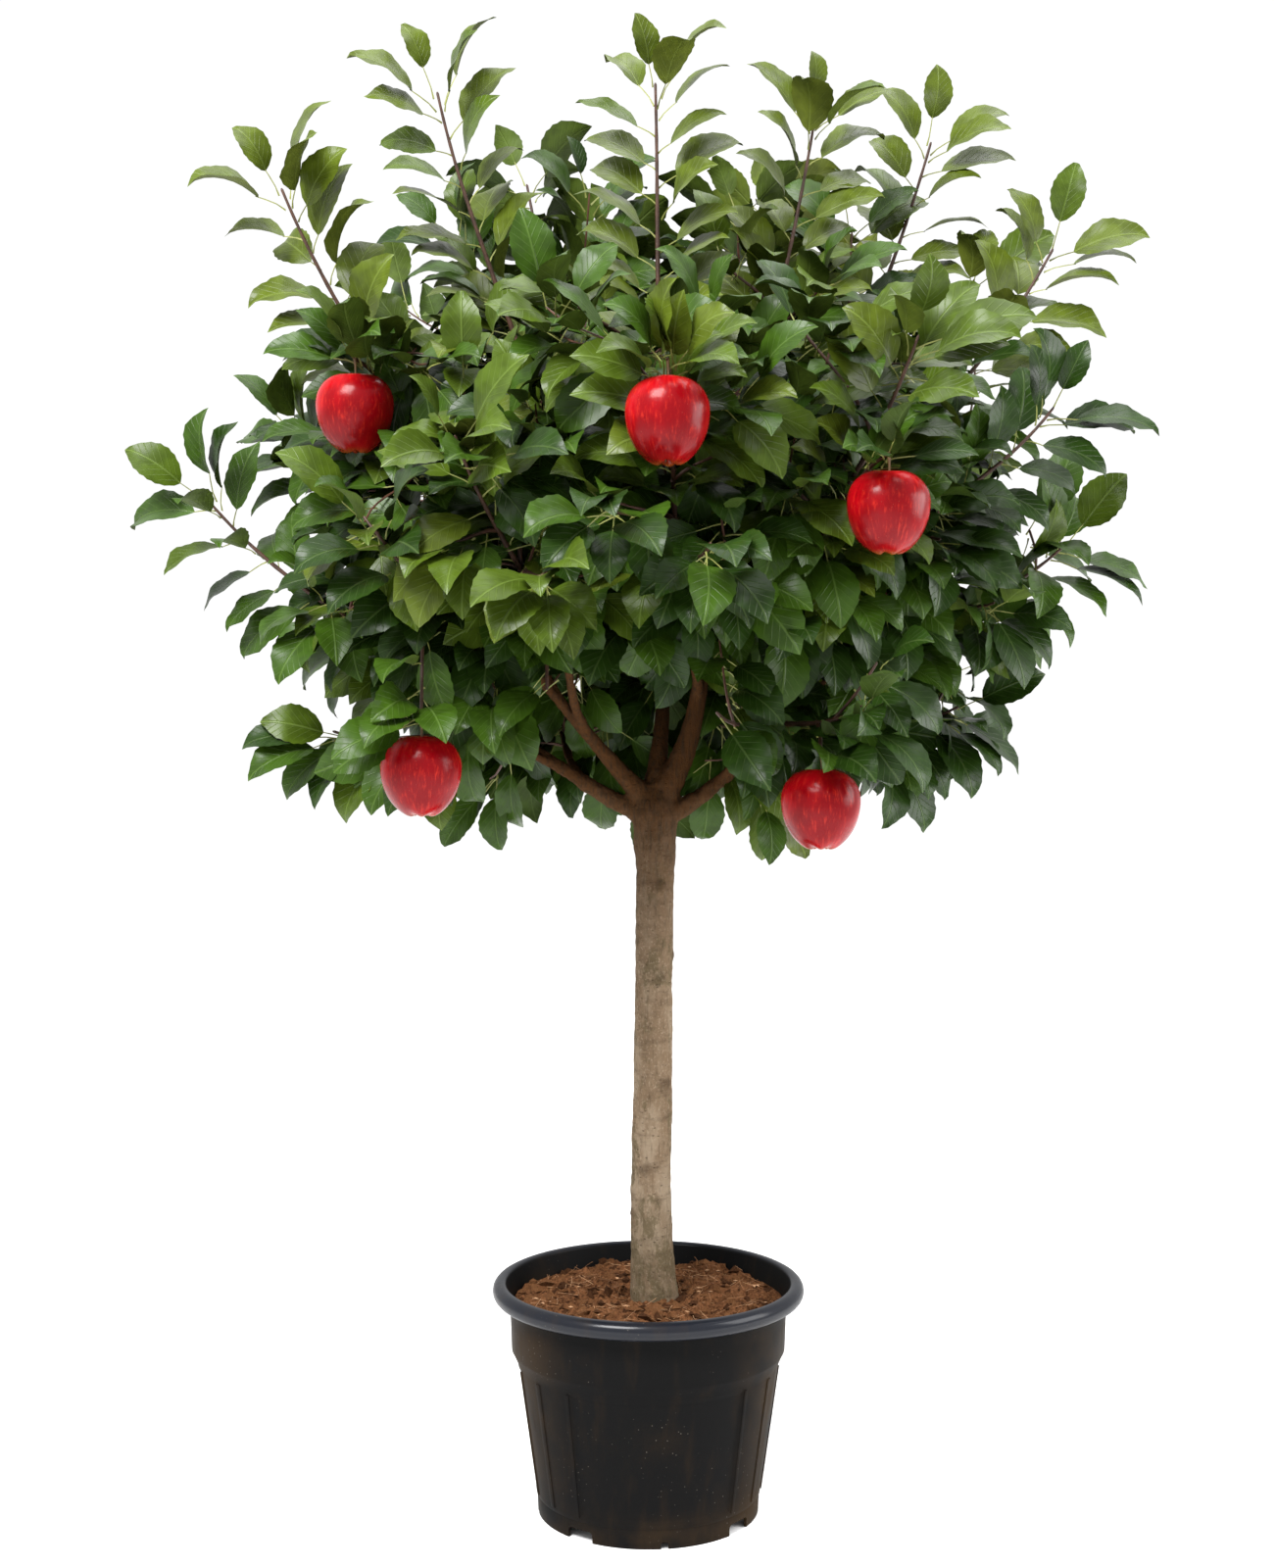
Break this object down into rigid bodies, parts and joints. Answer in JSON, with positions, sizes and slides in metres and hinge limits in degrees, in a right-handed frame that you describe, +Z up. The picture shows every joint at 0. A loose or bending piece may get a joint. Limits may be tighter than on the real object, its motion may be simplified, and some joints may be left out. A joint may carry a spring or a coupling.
{
  "type": "dwarf apple tree in a pot",
  "caption": "Small grafted apple tree with a clear trunk, a round leafy crown with ripe red apples, and a round plastic nursery pot of soil.",
  "frame": {"origin": "middle of the flat underside of the pot, on the ground", "axes": "+Z up the trunk, -Y the front of the tree, +X its right seen from the front"},
  "size_m": [1.0312, 0.9982, 1.5214],
  "materials": {
    "pot_plastic": "satin, dusty, bluish black moulded plastic",
    "compost": "matt, loose brown fibrous compost",
    "bark": "matt grey-brown bark, darker on the boughs",
    "foliage": "soft waxy green leaves",
    "apple_skin": "waxy red apple skin"
  },
  "bodies": {
    "root": {"pot": "pot_plastic", "soil": "compost", "trunk": "bark", "bough_leader": "bark", "bough_centre_back": "bark", "bough_left_mid": "bark", "bough_left_low": "bark", "bough_right_low": "bark", "bough_left_under": "bark", "bough_left_high": "bark", "bough_back_low_left": "bark", "bough_left_tall": "bark", "bough_front_left": "bark", "bough_top_left": "bark", "bough_back_left": "bark", "bough_back_right": "bark", "bough_top_back_left": "bark", "bough_top_back_right": "bark", "bough_right_tall": "bark", "bough_top_centre": "bark", "bough_front_centre": "bark", "bough_right_high": "bark", "bough_right_mid": "bark", "bough_right_under": "bark", "bough_front_right": "bark", "bough_front_low_right": "bark", "bough_back_low_right": "bark", "mass_leader": "foliage", "mass_centre_back": "foliage", "mass_left_mid": "foliage", "mass_left_low": "foliage", "mass_right_low": "foliage", "mass_left_under": "foliage", "mass_left_high": "foliage", "mass_back_low_left": "foliage", "mass_left_tall": "foliage", "mass_front_left": "foliage", "mass_top_left": "foliage", "mass_back_left": "foliage", "mass_back_right": "foliage", "mass_top_back_left": "foliage", "mass_top_back_right": "foliage", "mass_right_tall": "foliage", "mass_top_centre": "foliage", "mass_front_centre": "foliage", "mass_right_high": "foliage", "mass_right_mid": "foliage", "mass_right_under": "foliage", "mass_front_right": "foliage", "mass_front_low_right": "foliage", "mass_back_low_right": "foliage"}
  },
  "joints": []
}
